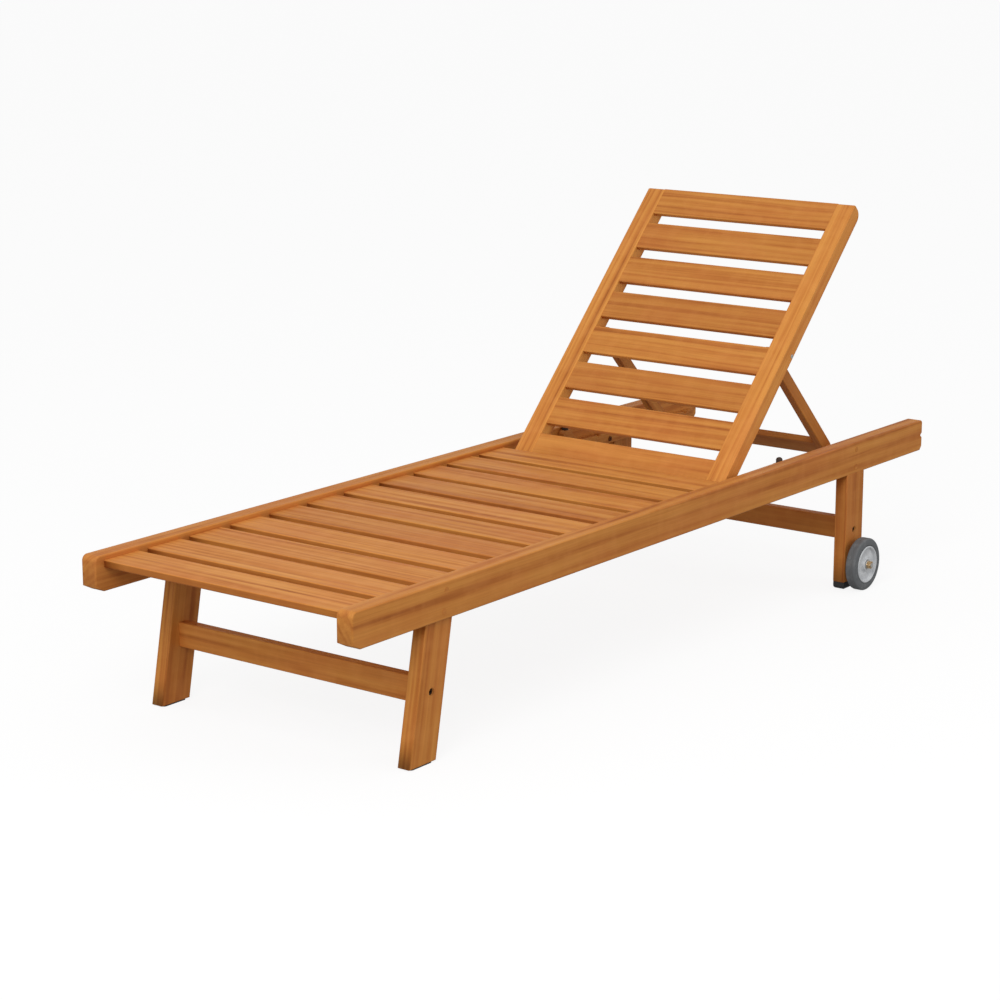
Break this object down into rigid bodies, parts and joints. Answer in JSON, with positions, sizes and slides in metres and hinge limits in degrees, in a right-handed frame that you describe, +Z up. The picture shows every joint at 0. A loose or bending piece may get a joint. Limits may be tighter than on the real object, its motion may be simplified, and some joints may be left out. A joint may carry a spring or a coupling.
{
  "type": "reclining sun lounger",
  "caption": "Slatted hardwood garden lounger with a reclining back, a folding prop on notched racks and two wheels at the head end.",
  "frame": {"origin": "on the ground, under the middle of the lounger", "axes": "+Z up, +Y from the foot end to the head end, +X to the left hand of a person who lies on it"},
  "size_m": [0.741, 2, 0.8358],
  "materials": {
    "slat_wood": "oiled hardwood, satin, straight grain across the deck",
    "frame_wood": "oiled hardwood, satin, straight grain along each board",
    "tyre_rubber": "matt black rubber",
    "rim_plastic": "silver grey moulded plastic",
    "bush_nylon": "natural nylon",
    "buffer_rubber": "matt black rubber",
    "black_plastic": "black moulded plastic",
    "brass": "tarnished, satin",
    "dark_steel": "blackened steel",
    "steel": "zinc plated, satin"
  },
  "bodies": {
    "frame": {"left_side_rail": "frame_wood", "right_side_rail": "frame_wood", "seat_slat_01": "slat_wood", "seat_slat_02": "slat_wood", "seat_slat_03": "slat_wood", "seat_slat_04": "slat_wood", "seat_slat_05": "slat_wood", "seat_slat_06": "slat_wood", "seat_slat_07": "slat_wood", "seat_slat_08": "slat_wood", "seat_slat_09": "slat_wood", "seat_slat_10": "slat_wood", "seat_slat_11": "slat_wood", "left_front_leg": "frame_wood", "right_front_leg": "frame_wood", "left_rear_leg": "frame_wood", "right_rear_leg": "frame_wood", "front_stretcher": "frame_wood", "rear_stretcher": "frame_wood", "stretcher_bolts": "dark_steel", "barrel_nuts": "steel", "leg_screws": "steel", "rail_plugs": "frame_wood", "front_glides": "black_plastic", "rear_leg_caps": "black_plastic", "left_rack": "frame_wood", "right_rack": "frame_wood", "rack_screws": "dark_steel", "rack_buffers": "buffer_rubber", "pivot_bolts": "dark_steel", "pivot_inserts": "brass", "pivot_spacers": "black_plastic", "axle_bolts": "steel", "axle_washers": "steel", "axle_nuts": "brass"},
    "backrest": {"left_back_stile": "frame_wood", "right_back_stile": "frame_wood", "back_slat_1": "slat_wood", "back_slat_2": "slat_wood", "back_slat_3": "slat_wood", "back_slat_4": "slat_wood", "back_slat_5": "slat_wood", "back_slat_6": "slat_wood", "back_slat_7": "slat_wood", "back_slat_8": "slat_wood", "pivot_bushes": "black_plastic", "strut_bolts": "steel", "strut_washers": "steel", "strut_nuts": "steel"},
    "prop": {"left_prop_strut": "frame_wood", "right_prop_strut": "frame_wood", "prop_crossbar": "frame_wood"},
    "left_wheel": {"left_tyre": "tyre_rubber", "left_wheel_rim": "rim_plastic", "left_wheel_bush": "bush_nylon"},
    "right_wheel": {"right_tyre": "tyre_rubber", "right_wheel_rim": "rim_plastic", "right_wheel_bush": "bush_nylon"}
  },
  "joints": [
    {"name": "backrest_recline", "type": "hinge", "parent": "frame", "child": "backrest", "pos_m": [0, 0.257, 0.3005], "axis": [1, 0, 0], "range_deg": [-44, 18.5]},
    {"name": "prop_fold", "type": "hinge", "parent": "backrest", "child": "prop", "pos_m": [0, 0.50547, 0.54008], "axis": [1, 0, 0], "range_deg": [-37, 88]},
    {"name": "left_wheel_spin", "type": "hinge", "parent": "frame", "child": "left_wheel", "pos_m": [0.347, 0.7, 0.058], "axis": [1, 0, 0], "continuous": true},
    {"name": "right_wheel_spin", "type": "hinge", "parent": "frame", "child": "right_wheel", "pos_m": [-0.347, 0.7, 0.058], "axis": [1, 0, 0], "continuous": true}
  ],
  "couplings": [
    {"joint": "prop_fold", "follows": "backrest_recline", "ratio": -2}
  ]
}
